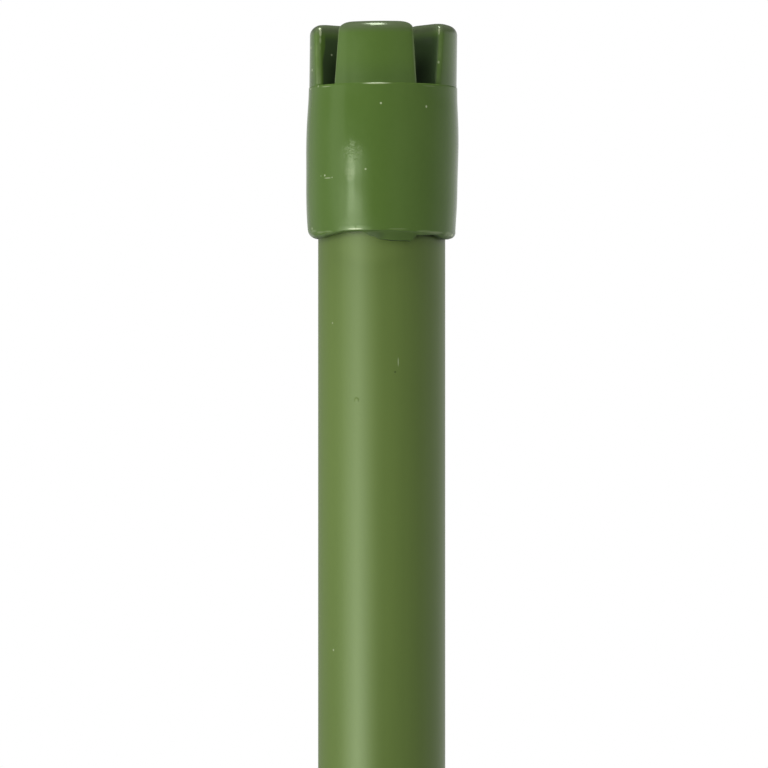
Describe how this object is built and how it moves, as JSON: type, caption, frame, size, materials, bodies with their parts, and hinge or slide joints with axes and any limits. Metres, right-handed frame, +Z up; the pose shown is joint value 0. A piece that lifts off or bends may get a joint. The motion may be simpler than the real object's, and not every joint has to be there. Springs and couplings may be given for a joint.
{
  "type": "garden stake",
  "caption": "Plastic-jacketed steel tube garden stake with a slotted push-on cap for tying cord and a pointed plug tip that goes into the soil.",
  "frame": {"origin": "on the stake's axis at the soil line, above the buried length", "axes": "+Z up along the stake towards the cap; X and Y through the middles of the cord slots"},
  "size_m": [0.0192, 0.0192, 1.2],
  "materials": {
    "steel": "bare welded steel",
    "jacket": "satin extruded",
    "cap": "glossy moulded",
    "tip": "satin moulded"
  },
  "bodies": {
    "shaft": {"steel_tube": "steel", "plastic_jacket": "jacket", "ground_tip": "tip"},
    "cap": {"slotted_cap": "cap"}
  },
  "joints": [
    {"name": "cap_pull", "type": "slide", "parent": "shaft", "child": "cap", "axis": [0, 0, 1], "range_m": [0, 0.03]}
  ]
}
